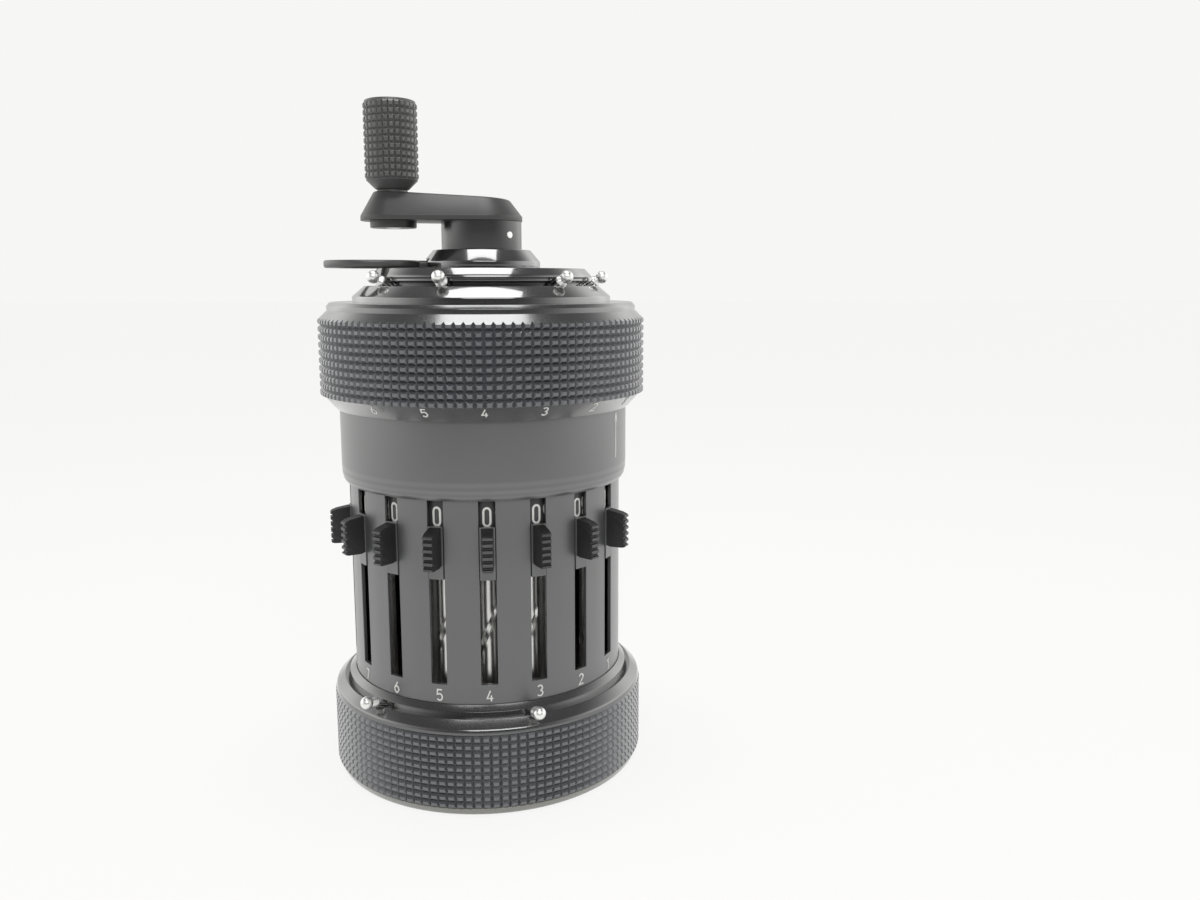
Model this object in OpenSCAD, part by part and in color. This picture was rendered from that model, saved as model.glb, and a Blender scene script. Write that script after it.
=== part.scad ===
// Cylindrical hand calculator with a stepped drum, eight setting sliders and a turning carriage.
// Millimetres, Z up, standing on Z = 0, the digit windows facing -Y, the crank arm pointing to -X.
// Angles run round Z from the front (-Y) towards +X.

/* [View] */
// Node to draw, or all for the whole calculator

/* [Body] */
// Radius over the knurl of the carriage ring, which sets every size across the body
ring_radius = 26.5; // [24:0.5:30]
// Height of the base ring, up to the sleeve
base_height = 16.8; // [15:0.1:18]
// Level of the lower edge of the plain collar
collar_bottom = 48.5; // [46:0.1:52]
// Level of the lower edge of the carriage ring
ring_bottom = 60.5; // [57:0.5:63]
// Height of the carriage ring
ring_height = 16.8; // [16:0.1:19]
// Wall of the slotted sleeve
sleeve_wall = 0.6; // [0.5:0.05:0.9]
// Depth of the grip knurls
knurl_depth = 0.4; // [0.2:0.05:0.5]

/* [Setting] */
// Width of a slot in the sleeve
slot_width = 2.5; // [2.4:0.05:3]
// Step of a slider from one digit to the next
digit_step = 1.75; // [1.6:0.05:1.85]
// How far a slider knob stands out of the sleeve
slider_stand = 3.3; // [2.5:0.1:4.5]
// Width of a slider knob
slider_width = 1.9; // [1.6:0.1:2.2]
// Height of a slider plate
slider_height = 8.95; // [8:0.05:9.4]
// Radius of a spiral digit shaft
spiral_radius = 1.25; // [1.15:0.05:1.35]
// How far below the slider plate the spiral groove crosses the front
groove_drop = 8.55; // [6:0.05:11]

/* [Crank] */
// Height of the round crank post above the clearing disc
post_rise = 4.55; // [4.1:0.05:6]
// Height of the bevelled arm at the knob, from where its top slopes down to the post
arm_height = 4.55; // [3.5:0.05:5.5]
// Distance from the main axis to the knob axis
crank_reach = 14.1; // [12:0.1:16]
// Radius of the knob over its knurl
knob_radius = 4.25; // [3.4:0.05:4.6]
// Height of the knob
knob_height = 13.8; // [12:0.1:17]

/* [Carriage] */
// Height of the windowed cover above the carriage ring
cover_rise = 5.3; // [5.2:0.05:5.8]
// Height of the clearing disc above the cover
disc_rise = 3; // [2.8:0.05:4]
// Outer radius of the finger loop of the clearing lever
loop_radius = 7.7; // [7:0.1:8]
// Width of the band that the loop is made of
loop_band = 1.8; // [1.4:0.1:2.2]
// Radius of the silver ball on a decimal marker
marker_ball = 0.95; // [0.7:0.05:1]

/* [Hidden] */
$fn = 48;
slots = [1 : 8];
results = [1 : 11];
counters = [1 : 6];
pitch_angle = 20;
upper_marks = [-57, -19, 40, 77];
lower_marks = [-45.5, 16];
post_angles = [105, 155, 225];
digit_steps = 9;
digit_turn = 36;

// Clearances between moving pieces, and between a fixed piece and its hole
running = 0.05;
seated = 0.02;
clear = 0.3;

// Radii of the case, as shares of the carriage ring
base_radius = 0.985 * ring_radius;
collar_radius = 0.8905 * ring_radius;
sleeve_radius = 0.849 * ring_radius;
sleeve_inner = sleeve_radius - sleeve_wall;
plate_radius = 0.887 * ring_radius;
shaft_circle = sleeve_inner - 0.1225 * ring_radius;
transmission_circle = shaft_circle - 0.194 * ring_radius;
main_radius = 0.1132 * ring_radius;
slider_reach = sleeve_radius + slider_stand;

// Levels of the case, from the table up
plate_low = 0.8;
plate_high = 3;
ledge_level = 6;
frame_high = base_height - 0.8;
frame_low = frame_high - 3;
deck_low = collar_bottom + 3.5;
deck_high = deck_low + 3;
lip_high = deck_high + 1;
collar_top = ring_bottom + 3.5;
ring_top = ring_bottom + ring_height;
cover_top = ring_top + cover_rise;
disc_low = cover_top + running;
disc_top = cover_top + disc_rise;

// Knurled bands, and the cone and groove of the lower markers
knurl_rows = 10;
rim_height = 1.5;
base_knurl = [rim_height + 0.4, base_height - 3.2];
cone_foot = [base_radius - 0.2, base_knurl[1] + 0.4];
cone_head = [sleeve_radius + running, base_height];
lower_seat = cone_foot + 0.55 * (cone_head - cone_foot);
lower_tilt = 75;
ring_knurl = [ring_bottom + 2.3, ring_top - 2.8];
ring_inner = collar_radius + clear + running;
ring_chamfer = 2.1;
marker_stem = 0.4;
marker_depth = 0.9;
marker_collar = 0.65;

// Setting slider, its nut, pin and gear
slider_travel = digit_steps * digit_step;
slider_bottom = collar_bottom - 12.15;
slider_top = slider_bottom + slider_height;
slot_bottom = slider_bottom - slider_travel - 0.8;
slot_top = collar_bottom + 1.2;
nut_low = slider_bottom + 0.65;
nut_high = nut_low + 3;
nut_radius = 0.083 * ring_radius;
pin_height = (nut_low + nut_high) / 2;
pin_size = 0.25;
groove_height = slider_bottom - groove_drop;
turn_per_mm = digit_steps * digit_turn / slider_travel;
pin_angle = turn_per_mm * (pin_height - groove_height);
gear_gap = 0.38;
gear_radius = transmission_circle * sin(pitch_angle / 2) - gear_gap / 2;
gear_hub = 1.6;
transmission_radius = 0.034 * ring_radius;
journal_radius = 0.8;
digit_drum = [collar_bottom - 4.6, collar_bottom + 0.1];
digit_radius = sleeve_inner - 3 * running - shaft_circle;
spiral_span = [pin_height - slider_travel - 3.75, nut_high + 0.5];
lever_slot = [slot_bottom + 8.7, slot_bottom + 17.7];
lever_travel = 5;

// Stepped drum and crank
drum_radius = transmission_circle - gear_radius - clear - running;
drum_span = [slot_bottom + 0.2, collar_bottom - 2.5];
shaft_low = frame_low - 5;
thrust_radius = 0.264 * ring_radius;
thrust_height = 2.6;
drum_shoulder = 2.5;
post_radius = 0.2453 * ring_radius;
post_low = disc_top - 2.3;
post_high = disc_top + post_rise;
arm_step = post_high + 0.75;
arm_slope = 0.8;
arm_top = post_high + arm_height;
boss_drop = 1.1;
boss_radius = 0.1396 * ring_radius;
shaft_high = post_high - 0.6;
axle_radius = 1.2;
knob_low = arm_top + 0.35;
knob_top = knob_low + knob_height;
knob_neck = 2;
knob_crown = 3;
knob_teeth = 0.3;
knob_rows = 11;
pin_level = post_high - 2;
pin_heading = 44;
pin_radius = 0.6;

// Carriage: radii as shares of the ring, levels from the top of the ring
hub_inner = 0.3226 * ring_radius;
hub_outer = 0.4075 * ring_radius;
wall_inner = 0.6226 * ring_radius;
cover_edge = 0.7925 * ring_radius;
cover_rim = 0.6434 * ring_radius;
upper_seat = [0.6793 * ring_radius, ring_top + 2.95];
upper_tilt = 60;
cover_skin = 0.6;
cover_step = [2, 0.9, 2.6];
cover_lip = 1.4;
sleeve_bore = 0.2132 * ring_radius;
spring_bore = 0.2604 * ring_radius;
flange_radius = spring_bore - clear;
tube_radius = 0.283 * ring_radius;
tube_top = ring_top + 3.7;
sleeve_low = ring_top - 7.3;
sleeve_flange = [0.3585 * ring_radius, sleeve_low + 1.5];
sleeve_high = ring_top + 2.5;
spring_foot = sleeve_low + 3;
spring_head = ring_top + 2.2;
spring_wire = 0.35;
spring_coil = (spring_bore + sleeve_bore - running) / 2 - 0.025;
spring_turns = 3;
crown_low = ring_top - 1.8;
crown_high = crown_low + 1.2;
dial_height = ring_top + 1.8;
dial_radius = 0.0755 * ring_radius;
dial_span = [0.4755 * ring_radius, 0.5962 * ring_radius];
pinion_span = [0.4189 * ring_radius, 0.4566 * ring_radius];
pinion_radius = pinion_span[0] * sin(pitch_angle / 2) - 0.23;
axle_size = 0.6;
axle_seat = 1.1;
window = [2.2, 2.6];

// Clearing disc and lever
disc_radius = 0.3585 * ring_radius;
disc_chamfer = [1.6, 1.9];
lever_low = cover_top + 0.1;
lever_thick = 1.2;
lever_high = lever_low + lever_thick;
lever_pivot = disc_radius - 0.8;
lever_eye = 1.25;
loop_center = 0.9566 * ring_radius - loop_radius;
loop_hole = loop_radius - loop_band;

satin_black = [0.16, 0.16, 0.17];
gloss_black = [0.08, 0.08, 0.09];
matt_black = [0.11, 0.11, 0.12];
bright_steel = [0.78, 0.78, 0.76];
light_alloy = [0.62, 0.60, 0.55];

// Angle of a setting slot, numbered from the right
function slot_angle(k) = (4 - k) * pitch_angle;

// Angle of a counter dial, numbered on round the back
function counter_angle(k) = (10 - k) * pitch_angle;

// Saw-tooth outline of a knurled band, from its lower to its upper edge
function knurl(radius, span, rows, depth) =
    let (row = (span[1] - span[0]) / rows)
    concat(
        [for (i = [0 : rows - 1]) each [[radius, span[0] + i * row],
                                        [radius - depth, span[0] + (i + 0.5) * row]]],
        [[radius, span[1]]]
    );

// Outline of a small gear: a trapezoid for each tooth
function gear_outline(outer, root, teeth) =
    let (step = 360 / teeth)
    [for (i = [0 : teeth - 1]) each [
        root * [cos((i - 0.36) * step), sin((i - 0.36) * step)],
        outer * [cos((i - 0.16) * step), sin((i - 0.16) * step)],
        outer * [cos((i + 0.16) * step), sin((i + 0.16) * step)],
        root * [cos((i + 0.36) * step), sin((i + 0.36) * step)]]];

// Places its children round the axis, outwards and up
module at(angle, radius = 0, z = 0)
    rotate([0, 0, angle]) translate([0, -radius, z]) children();

// A turned ring between two radii and two levels
module ring(inner, outer, low, high)
    rotate_extrude() translate([inner, low]) square([outer - inner, high - low]);

// A straight round bar along Z
module bar(radius, low, high)
    translate([0, 0, low]) cylinder(r = radius, h = high - low);

// A round bar that points outwards along a radius
module radial_bar(radius, from, to)
    rotate([90, 0, 0]) bar(radius, from, to);

// A plate whose outline is drawn as radius and height, pointing outwards
module upright(width)
    rotate([90, 0, -90]) linear_extrude(width, center = true) children();

// The channel that a row of markers slides in, as a flat outline
module marker_channel(seat, tilt)
    translate(seat) rotate(-tilt) translate([-marker_stem - running, -marker_depth - running])
        square([2 * (marker_stem + running), marker_depth + 0.6]);

// Knurled foot of the case, with the cone and groove for the lower markers
module base_ring() color(satin_black)
    rotate_extrude() difference() {
        polygon(concat(
            [[plate_radius + 0.1, 0], [base_radius - 0.9, 0], [base_radius - 0.4, 0.5],
             [base_radius - 0.4, rim_height]],
            knurl(base_radius, base_knurl, knurl_rows, knurl_depth),
            [cone_foot, cone_head, [cone_head[0], ledge_level], [sleeve_inner - 0.5, ledge_level],
             [sleeve_inner - 0.5, plate_high], [plate_radius + 0.1, plate_high]]
        ));
        marker_channel(lower_seat, lower_tilt);
    }

// Round plate that closes the case from below
module bottom_plate() color(satin_black) difference() {
    bar(plate_radius, plate_low, plate_high);
    bar(0.75 * plate_radius, 0, 1.5 * plate_low);
}

// Thin tube with the eight setting slots and the slot of the reversing lever
module slotted_sleeve() color(satin_black) difference() {
    ring(sleeve_inner, sleeve_radius, ledge_level, deck_low);
    for (k = slots) at(slot_angle(k))
        translate([-slot_width / 2, -sleeve_radius - 1, slot_bottom])
            cube([slot_width, 3, slot_top - slot_bottom]);
    at(180) translate([-1.1, -sleeve_radius - 1, lever_slot[0]])
        cube([2.2, 3, lever_slot[1] - lever_slot[0]]);
}

// Plain collar above the slots, hung on the upper plate by its inner lip
module upper_collar() color(satin_black)
    rotate_extrude() polygon([
        [sleeve_radius + running, collar_bottom], [collar_radius - 0.5, collar_bottom],
        [collar_radius, collar_bottom + 1.5], [collar_radius, collar_top],
        [sleeve_radius + running, collar_top],
        [sleeve_radius + running, lip_high], [sleeve_inner - 1.5, lip_high],
        [sleeve_inner - 1.5, deck_high], [sleeve_radius + running, deck_high]
    ]);

// Lower bearing plate on its foot, with three posts that carry the upper plate
module bearing_frame() color(light_alloy) difference() {
    union() {
        bar(sleeve_inner - 0.2, frame_low, frame_high);
        ring(shaft_circle - 0.25, sleeve_inner - 1, plate_high, frame_low + 0.5);
        for (a = post_angles) at(a, shaft_circle - 0.25) bar(1.6, frame_high - 0.5, deck_low);
    }
    bar(main_radius + running, frame_low - 1, frame_high + 1);
    for (k = slots) at(slot_angle(k), shaft_circle)
        bar(journal_radius + running, frame_low + 0.1, frame_high + 1);
    for (k = slots) at(slot_angle(k), transmission_circle)
        bar(transmission_radius + running, frame_low - 1, frame_high + 1);
}

// Upper bearing plate and the tube that guides the carriage
module upper_bearing_plate() color(light_alloy) difference() {
    rotate_extrude() polygon([
        [main_radius + running, deck_low], [sleeve_radius, deck_low], [sleeve_radius, deck_high],
        [tube_radius, deck_high], [tube_radius, sleeve_low - running],
        [sleeve_bore - running, sleeve_low - running], [sleeve_bore - running, spring_head],
        [flange_radius, spring_head], [flange_radius, tube_top],
        [main_radius + running, tube_top]
    ]);
    for (k = slots) at(slot_angle(k), shaft_circle)
        bar(journal_radius + running, deck_low - 1, deck_high - 0.8);
    for (k = slots) at(slot_angle(k), transmission_circle)
        bar(transmission_radius + running, deck_low - 1, deck_high + 1);
}

// Eight upright shafts that carry a slider's count up to the dials, each with its crown wheel
module transmission_shafts() color(bright_steel)
    for (k = slots) at(slot_angle(k), transmission_circle) {
        bar(transmission_radius, frame_low + 0.2, crown_high - 0.1);
        translate([0, 0, crown_low]) linear_extrude(crown_high - crown_low)
            polygon(gear_outline(gear_radius - 0.15, gear_hub - 0.2, 10));
    }

// Coil spring that presses the carriage down on its guide tube
module carriage_spring() color(bright_steel) {
    rings = 16 * spring_turns;
    sides = 6;
    low = spring_foot + running + spring_wire;
    rise = spring_head - running - spring_wire - low;
    wire = [for (i = [0 : rings]) for (j = [0 : sides - 1])
        let (a = 360 * spring_turns * i / rings, b = 360 * j / sides,
             r = spring_coil + spring_wire * cos(b))
        [r * sin(a), -r * cos(a), low + rise * i / rings + spring_wire * sin(b)]];
    walls = [for (i = [0 : rings - 1]) for (j = [0 : sides - 1])
        let (p = i * sides + j, q = i * sides + (j + 1) % sides)
        each [[p, q, q + sides], [p, q + sides, p + sides]]];
    ends = [for (j = [1 : sides - 2]) each [[0, j + 1, j],
        [rings * sides, rings * sides + j, rings * sides + j + 1]]];
    polyhedron(wire, concat(walls, ends));
}

// Small lever at the back that sets the counter to add or subtract
module reversing_lever() color(matt_black) at(180) {
    neck = lever_slot[1] - lever_slot[0] - lever_travel - 1;
    low = lever_slot[0] + 0.5;
    translate([-2.2, clear - sleeve_inner, low - 2]) cube([4.4, 0.9, neck + 4]);
    translate([-0.95, -sleeve_radius - 0.5, low]) cube([1.9, sleeve_wall + 1, neck]);
    translate([-1.5, -sleeve_radius - 2.5, low - 0.4]) cube([3, 2.1, neck + 0.8]);
}

// Slider: ridged knob, plate in the slot, nut on the spiral shaft and its sliding gear
module setting_slider(k) color(matt_black) at(slot_angle(k)) {
    ridges = [slider_bottom + 2.4, slider_top - 1.9];
    upright(slot_width - 3 * running)
        translate([sleeve_inner + 0.1, slider_bottom])
            square([sleeve_wall + 0.15, slider_top - slider_bottom]);
    upright(slider_width)
        polygon(concat(
            [[sleeve_radius - 0.3, slider_bottom + 2.4], [sleeve_radius + 0.7, slider_bottom + 2.05],
             [slider_reach - 0.8, slider_bottom + 2.05], [slider_reach - 0.2, slider_bottom + 2.2]],
            knurl(slider_reach, ridges, 5, 0.4),
            [[slider_reach - 0.7, slider_top - 0.9], [sleeve_radius - 0.3, slider_top]]
        ));
    difference() {
        union() {
            translate([-1, -sleeve_inner - 0.3, nut_low])
                cube([2, sleeve_inner + 0.3 - shaft_circle, nut_high - nut_low]);
            at(0, shaft_circle) bar(nut_radius, nut_low, nut_high);
            translate([-0.7, -shaft_circle, nut_low]) cube([1.4, shaft_circle - transmission_circle, 1]);
            at(0, transmission_circle) bar(gear_hub + 0.1, nut_low, nut_low + 1);
            at(0, transmission_circle, nut_low + 0.9)
                linear_extrude(2.1) polygon(gear_outline(gear_radius, gear_hub, 10));
        }
        at(0, shaft_circle) bar(spiral_radius + 0.08, nut_low - 1, nut_high + 1);
        at(0, transmission_circle) bar(transmission_radius + running, nut_low - 1, nut_high + 1);
    }
    at(0, shaft_circle, pin_height) rotate([0, 0, pin_angle])
        radial_bar(pin_size, spiral_radius - 0.38, spiral_radius + 0.4);
}

// Digit shaft: spiral groove below, white numbers on the drum above
module digit_shaft(k) at(slot_angle(k), shaft_circle) {
    color(bright_steel) difference() {
        union() {
            bar(journal_radius, frame_low + 0.2, deck_high - 1);
            bar(spiral_radius, frame_high + 0.2, deck_low - 0.5);
        }
        spiral_groove();
    }
    color(gloss_black) bar(digit_radius, digit_drum[0], digit_drum[1]);
}

// The groove that turns a digit shaft, cut along the stretch that the slider pin travels
module spiral_groove() {
    length = spiral_span[1] - spiral_span[0];
    twist = turn_per_mm * length;
    translate([0, 0, spiral_span[0]]) rotate([0, 0, turn_per_mm * (spiral_span[0] - groove_height)])
        linear_extrude(length, twist = -twist, slices = ceil(twist / 20), $fn = 4)
            polygon([[-0.35, -0.64 * spiral_radius], [0.35, -0.64 * spiral_radius],
                     [0.6, -1.4 * spiral_radius], [-0.6, -1.4 * spiral_radius]]);
}

// Decimal marker: a stem in the groove, a collar, a neck and a silver ball
module decimal_marker(angle, seat, tilt, collar, neck) color(bright_steel)
    at(angle, seat[0], seat[1]) rotate([tilt, 0, 0]) {
        bar(marker_stem, -marker_depth, collar + neck + 0.6);
        bar(marker_collar, collar, collar + 0.4);
        translate([0, 0, collar + neck + marker_ball]) sphere(marker_ball);
    }

// Collar that lifts with the main shaft and lets it turn
module thrust_collar() color(light_alloy)
    ring(main_radius + running, thrust_radius, drum_span[1] + 0.2, drum_span[1] + 0.2 + thrust_height);

// Main shaft with the shoulder that the stepped drum stands on
module main_shaft() color(bright_steel) difference() {
    union() {
        bar(main_radius, shaft_low, shaft_high);
        bar(main_radius + 1, drum_span[0] - drum_shoulder, drum_span[0]);
    }
    at(pin_heading, 0, pin_level) radial_bar(pin_radius + seated, -main_radius - 1, main_radius + 1);
}

// Stepped drum: nine teeth, each one digit step shorter than the one before
module step_drum() color(bright_steel) difference() {
    union() {
        bar(drum_radius - 1.4, drum_span[0], drum_span[1]);
        for (i = [1 : 9]) at(i * 14)
            translate([-0.45, -drum_radius + 0.05, drum_span[0]])
                cube([0.9, 2.5, nut_high - i * digit_step - drum_span[0]]);
    }
    bar(main_radius + seated, drum_span[0] - 1, drum_span[1] + 1);
}

// Crank: round post on the main shaft and a bevelled arm
module crank_arm() color(satin_black) difference() {
    union() {
        bar(post_radius, post_low, post_high + 0.3);
        translate([-crank_reach, 0, 0]) bar(boss_radius, post_high - boss_drop, post_high + 0.3);
        hull() {
            arm_end(0, post_radius + 0.15, post_high, arm_step);
            arm_end(crank_reach, 1.4 * boss_radius, post_high, arm_step);
            arm_end(0, 0.7 * post_radius, arm_top - arm_slope - 0.1, arm_top - arm_slope);
            arm_end(crank_reach, 0.78 * boss_radius, arm_top - 0.1, arm_top);
        }
    }
    bar(main_radius + seated, post_low - 1, shaft_high);
    at(pin_heading, 0, pin_level) radial_bar(pin_radius + seated, -post_radius - 1, post_radius + 1);
    translate([-crank_reach, 0, 0]) bar(axle_radius + seated, post_high - 2, arm_top + 1);
}

// One end of the arm's outline, at a distance along the arm
module arm_end(along, radius, low, high)
    translate([-along, 0, low]) cylinder(r = radius, h = high - low, $fn = 40);

// Cross pin that holds the crank on the main shaft
module crank_pin() color(bright_steel) at(pin_heading, 0, pin_level)
    radial_bar(pin_radius, -post_radius + 0.1, post_radius - 0.05);

// Axle of the knob, riveted in the arm
module knob_axle() color(bright_steel) translate([-crank_reach, 0, 0]) {
    bar(axle_radius, post_high - boss_drop, knob_top - 3.2);
    bar(axle_radius + 1, arm_top, knob_low - 0.1);
}

// Knurled knob that turns on its axle
module crank_knob() color(matt_black) translate([-crank_reach, 0, 0])
    rotate_extrude() polygon(concat(
        [[axle_radius + running, knob_low], [0.64 * knob_radius, knob_low]],
        knurl(knob_radius, [knob_low + knob_neck, knob_top - 0.5], knob_rows, knob_teeth),
        [[knob_radius - 0.5, knob_top], [0, knob_top], [0, knob_top - knob_crown],
         [axle_radius + running, knob_top - knob_crown]]
    ));

// Sleeve that slides on the guide tube and carries the turning carriage
module carriage_sleeve() color(light_alloy)
    rotate_extrude() polygon([
        [sleeve_bore, sleeve_low], [sleeve_flange[0], sleeve_low], sleeve_flange,
        [hub_inner - running, sleeve_flange[1]], [hub_inner - running, sleeve_high],
        [spring_bore, sleeve_high], [spring_bore, spring_foot], [sleeve_bore, spring_foot]
    ]);

// Knurled grip ring of the carriage
module carriage_ring() color(satin_black)
    rotate_extrude() polygon(concat(
        [[ring_inner, ring_bottom], [ring_inner + 0.15, ring_bottom]],
        knurl(ring_radius, ring_knurl, knurl_rows, knurl_depth),
        [[ring_radius - ring_chamfer, ring_top], [wall_inner + 0.2, ring_top],
         [wall_inner + 0.2, ring_top - 1.7],
         [ring_inner, ring_top - 1.7]]
    ));

// Cover with seventeen windows, the dial bearings and the groove of the upper markers
module carriage_cover() color(gloss_black) difference() {
    rotate_extrude() difference() {
        polygon([
            [hub_inner, sleeve_flange[1] + running], [hub_outer, sleeve_flange[1] + running],
            [hub_outer, cover_top - cover_skin], [wall_inner, cover_top - cover_skin], [wall_inner, ring_top],
            [cover_edge, ring_top], [cover_edge, ring_top + cover_step[1]],
            [cover_edge - cover_step[0], ring_top + cover_step[2]],
            [upper_seat[0] + 0.2, ring_top + cover_step[2]], [cover_rim + 0.7, upper_seat[1] + 0.4],
            [cover_rim + 0.7, cover_top - cover_lip - 0.2], [cover_rim + 0.9, cover_top - cover_lip],
            [cover_rim, cover_top], [hub_inner, cover_top]
        ]);
        marker_channel(upper_seat, upper_tilt);
    }
    for (k = results) at(slot_angle(k)) dial_place();
    for (k = counters) at(counter_angle(k)) dial_place();
}

// Window and axle holes of one dial, cut from the cover
module dial_place() {
    middle = (dial_span[0] + dial_span[1]) / 2;
    translate([-window[0] / 2, -middle - window[1] / 2, cover_top - 2]) cube([window[0], window[1], 3]);
    translate([0, 0, dial_height]) {
        radial_bar(axle_size + running, hub_outer - axle_seat - 0.1, hub_outer + 1);
        radial_bar(axle_size + running, wall_inner - 1, wall_inner + 0.6);
    }
}

// Numbered dial with its axle and pinion, lying along a radius
module number_dial(angle) at(angle, 0, dial_height) rotate([90, 0, 0]) {
    color(bright_steel) bar(axle_size, hub_outer - axle_seat, wall_inner + 0.5);
    color(light_alloy) translate([0, 0, pinion_span[0]]) linear_extrude(pinion_span[1] - pinion_span[0])
        polygon(gear_outline(pinion_radius, 0.7 * pinion_radius, 10));
    color(bright_steel) bar(dial_radius / 2, pinion_span[1] - 0.1, dial_span[0] + 0.1);
    color(gloss_black) bar(dial_radius, dial_span[0], dial_span[1]);
}

// Clearing disc on top of the cover, cut away below for the lever
module clearing_disc() color(gloss_black) {
    difference() {
        rotate_extrude() polygon([
            [spring_bore, sleeve_high + 0.15], [hub_inner - running, sleeve_high + 0.15],
            [hub_inner - running, disc_low],
            [disc_radius, disc_low], [disc_radius, disc_top - disc_chamfer[1]],
            [disc_radius - disc_chamfer[0], disc_top],
            [spring_bore, disc_top]
        ]);
        translate([0, 0, disc_low]) linear_extrude(lever_thick + 0.35)
            polygon(concat([[0, 0]], [for (a = [205, 168, 131, 95]) 1.5 * disc_radius * [cos(a), sin(a)]]));
    }
    translate([-lever_pivot, 0, 0]) bar(axle_size, lever_low - running, disc_low + lever_thick + 0.4);
}

// Clearing lever: a flat finger loop on its pivot under the disc
module clearing_lever() color(gloss_black) difference() {
    union() {
        tang = loop_center - loop_radius - lever_pivot + 1.5;
        translate([-lever_pivot, 0, 0]) bar(lever_eye, lever_low, lever_high);
        translate([-lever_pivot - tang, -lever_eye, lever_low]) cube([tang, 2 * lever_eye, lever_thick]);
        translate([-loop_center, 0, 0]) bar(loop_radius, lever_low, lever_high);
    }
    translate([-lever_pivot, 0, 0]) bar(axle_size + running, lever_low - 1, lever_high + 1);
    translate([-loop_center, 0, 0]) bar(loop_hole, lever_low - 1, lever_high + 1);
}

base_ring();
bottom_plate();
slotted_sleeve();
upper_collar();
bearing_frame();
upper_bearing_plate();
transmission_shafts();
carriage_spring();
reversing_lever();
thrust_collar();
main_shaft();
step_drum();
crank_arm();
crank_pin();
knob_axle();
crank_knob();
carriage_sleeve();
carriage_ring();
carriage_cover();
clearing_disc();
clearing_lever();
for (k = slots) setting_slider(k);
for (k = slots) digit_shaft(k);
for (k = [1 : 2]) decimal_marker(lower_marks[k - 1], lower_seat, lower_tilt, 0.75, 0.9);
for (k = [1 : 4]) decimal_marker(upper_marks[k - 1], upper_seat, upper_tilt, 0.65, 0.35);
for (k = results) number_dial(slot_angle(k));
for (k = counters) number_dial(counter_angle(k));
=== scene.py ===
import math

import bmesh
import bpy
from mathutils import Matrix, Vector


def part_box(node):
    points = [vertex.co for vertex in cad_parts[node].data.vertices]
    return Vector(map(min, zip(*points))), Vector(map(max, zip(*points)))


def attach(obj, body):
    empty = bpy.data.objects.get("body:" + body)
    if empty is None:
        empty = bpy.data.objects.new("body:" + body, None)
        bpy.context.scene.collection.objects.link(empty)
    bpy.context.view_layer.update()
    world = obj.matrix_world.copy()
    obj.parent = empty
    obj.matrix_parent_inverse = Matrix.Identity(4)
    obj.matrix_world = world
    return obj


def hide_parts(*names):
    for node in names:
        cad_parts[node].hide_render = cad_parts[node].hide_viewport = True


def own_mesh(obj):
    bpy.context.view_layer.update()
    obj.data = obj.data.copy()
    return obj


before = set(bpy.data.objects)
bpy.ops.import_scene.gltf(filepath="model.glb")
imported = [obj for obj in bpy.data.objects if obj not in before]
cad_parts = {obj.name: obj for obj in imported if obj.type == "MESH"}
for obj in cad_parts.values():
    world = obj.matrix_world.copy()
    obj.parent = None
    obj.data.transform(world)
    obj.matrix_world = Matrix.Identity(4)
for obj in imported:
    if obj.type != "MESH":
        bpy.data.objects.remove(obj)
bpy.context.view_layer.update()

# Base ring: the foot of the case and its lower grip, turned from aluminium bar. A square knurl is
# rolled round it, and the cone above holds the narrow groove of the lower markers. It has a thin
# black coat, a little paler on the tips that a hand rubs, with painted shade on the knurl's faces that
# look down. The bottom rim and the lands where the knurl ends are a pale warm grey, a painted
# reflection of the white table.

MM = 0.001


class Field:
    """A value that varies over a surface: it wraps a socket, and arithmetic on it adds Math nodes."""

    def __init__(self, tree, socket=None):
        self.tree = tree
        self.socket = socket

    def make(self, kind, settings=None, inputs=None, output=0):
        """Adds any other node: its settings first, then the values or links of its sockets."""
        node = self.tree.nodes.new(kind)
        for name, value in (settings or {}).items():
            setattr(node, name, value)
        for name, value in (inputs or {}).items():
            if isinstance(value, Field):
                value.into(node.inputs[name])
            else:
                node.inputs[name].default_value = value
        return Field(self.tree, node.outputs[output])

    def into(self, socket):
        self.tree.links.new(self.socket, socket)

    def math(self, operation, first, second):
        return self.make("ShaderNodeMath", {"operation": operation}, {0: first, 1: second})

    def __add__(self, other):
        return self.math("ADD", self, other)

    def __radd__(self, other):
        return self.math("ADD", other, self)

    def __sub__(self, other):
        return self.math("SUBTRACT", self, other)

    def __rsub__(self, other):
        return self.math("SUBTRACT", other, self)

    def __mul__(self, other):
        return self.math("MULTIPLY", self, other)

    def __rmul__(self, other):
        return self.math("MULTIPLY", other, self)


def new_finish(name, sockets):
    """A material with its even values set on the shader, and a field to build the varying ones from."""
    material = bpy.data.materials.new(name)
    material.use_nodes = True
    shader = material.node_tree.nodes["Principled BSDF"]
    for socket, value in sockets.items():
        shader.inputs[socket].default_value = value
    return material, Field(material.node_tree), shader.inputs


def blended(field, share, first, second):
    """A colour between two others, by a share from 0 to 1."""
    return field.make("ShaderNodeMix", {"data_type": "RGBA"}, {0: share, 6: first, 7: second}, 2)


def clouds(field, spot, scale, detail):
    """A cloudy value from 0 to 1 over the surface, finer with a larger scale."""
    return field.make("ShaderNodeTexNoise", None, {"Vector": spot, "Scale": scale, "Detail": detail})


def roughen(field, shader, height, strength, distance):
    """Tilts the surface by a fine relief, whose distance is in millimetres."""
    relief = {"Strength": strength, "Distance": distance * MM, "Height": height}
    field.make("ShaderNodeBump", None, relief).into(shader["Normal"])


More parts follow.
